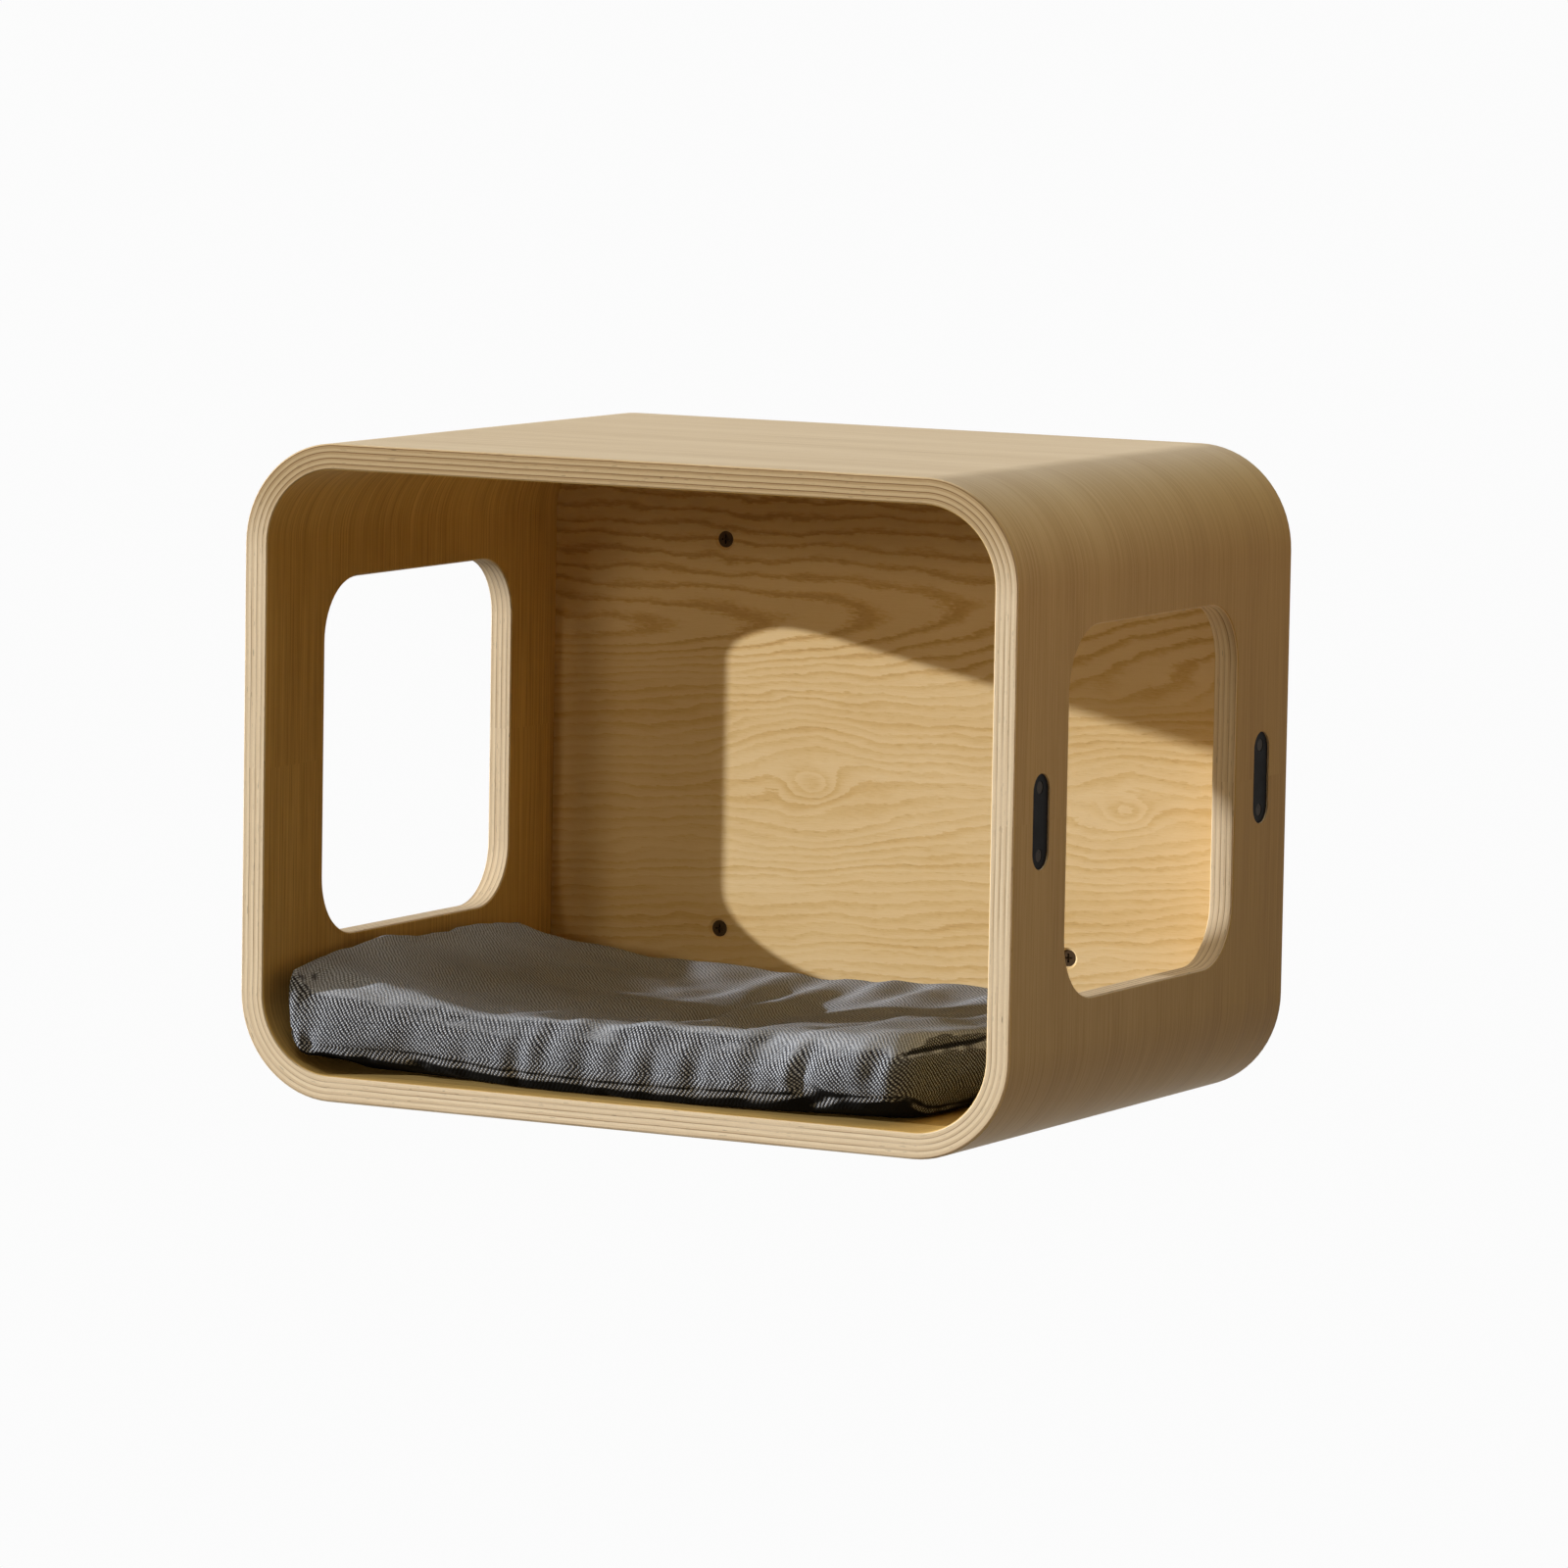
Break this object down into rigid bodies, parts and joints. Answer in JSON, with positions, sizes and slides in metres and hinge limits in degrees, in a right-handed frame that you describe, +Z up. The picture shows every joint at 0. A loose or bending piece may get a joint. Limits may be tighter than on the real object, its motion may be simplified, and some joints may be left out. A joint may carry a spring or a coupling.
{
  "type": "wall-mounted cat house",
  "caption": "Box-shaped cat house of bent plywood for a wall, open at the front with a window in each side and a loose cushion inside.",
  "frame": {"origin": "centre of the rectangle of four wall screws, on the wall plane, which is the rear face of the back panel and shell", "axes": "+X to the right seen from the front, +Y into the wall, +Z up; the open front faces -Y"},
  "size_m": [0.5, 0.3834, 0.38],
  "materials": {
    "bent_plywood": "satin",
    "panel_plywood": "satin",
    "biscuit_wood": "matte",
    "black_plate": "satin",
    "black_screw": "satin",
    "grey_fabric": "matte",
    "foam": "matte",
    "zip_nylon": "matte",
    "zip_metal": "satin"
  },
  "bodies": {
    "house": {"upper_shell": "bent_plywood", "lower_shell": "bent_plywood", "back_panel": "panel_plywood", "joining_plates_left": "black_plate", "joining_plates_right": "black_plate", "joining_screws_left": "black_screw", "joining_screws_right": "black_screw", "biscuits_left": "biscuit_wood", "biscuits_right": "biscuit_wood", "wall_screws": "black_screw"},
    "cushion": {"cushion_cover": "grey_fabric", "cushion_foam": "foam", "zip_upper_half": "zip_nylon", "zip_lower_half": "zip_nylon"},
    "slider": {"zip_slider": "zip_metal"},
    "pull": {"zip_pull": "zip_metal"}
  },
  "joints": [
    {"name": "cushion_slide", "type": "slide", "parent": "house", "child": "cushion", "axis": [0, -1, 0], "range_m": [0, 0.36]},
    {"name": "zip_slide", "type": "slide", "parent": "cushion", "child": "slider", "axis": [-1, 0, 0], "range_m": [0, 0.272]},
    {"name": "zip_pull_turn", "type": "hinge", "parent": "slider", "child": "pull", "pos_m": [0.1217, -0.0384, -0.15645], "axis": [0, 0, -1], "range_deg": [0, 170]}
  ]
}
